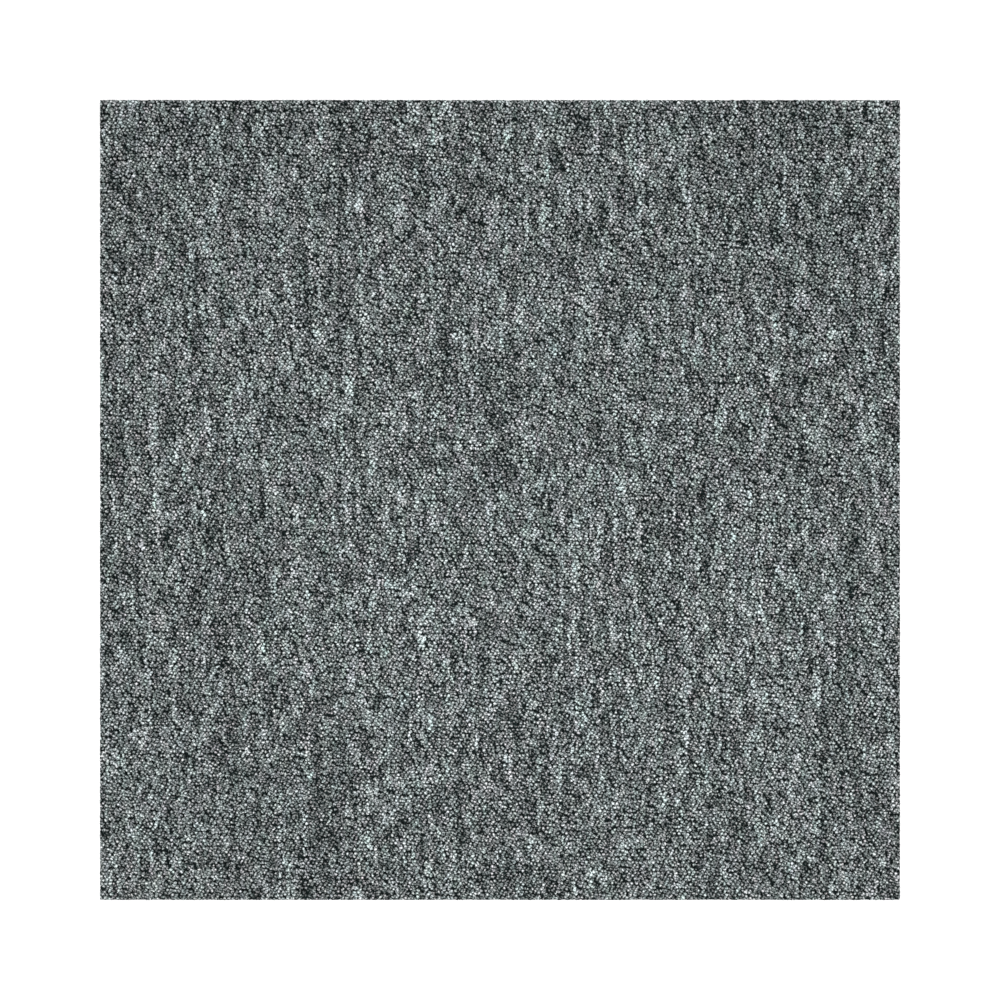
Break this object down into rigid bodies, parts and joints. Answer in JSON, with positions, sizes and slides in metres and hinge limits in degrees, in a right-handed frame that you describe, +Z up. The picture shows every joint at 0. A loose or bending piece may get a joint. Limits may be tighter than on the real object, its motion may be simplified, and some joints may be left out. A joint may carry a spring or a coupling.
{
  "type": "carpet tile",
  "caption": "Square loop-pile carpet tile in heathered grey, with a low level pile on a firm flat backing and straight cut edges.",
  "frame": {"origin": "centre of the underside, on the floor", "axes": "+Z up through the pile, +Y along the tufting direction (up in the picture), +X to the right in the picture"},
  "size_m": [0.5, 0.5, 0.006],
  "materials": {
    "pile": "matt heathered loop pile yarn in greys with a faint green tint"
  },
  "bodies": {
    "root": {"carpet_tile": "pile"}
  },
  "joints": []
}
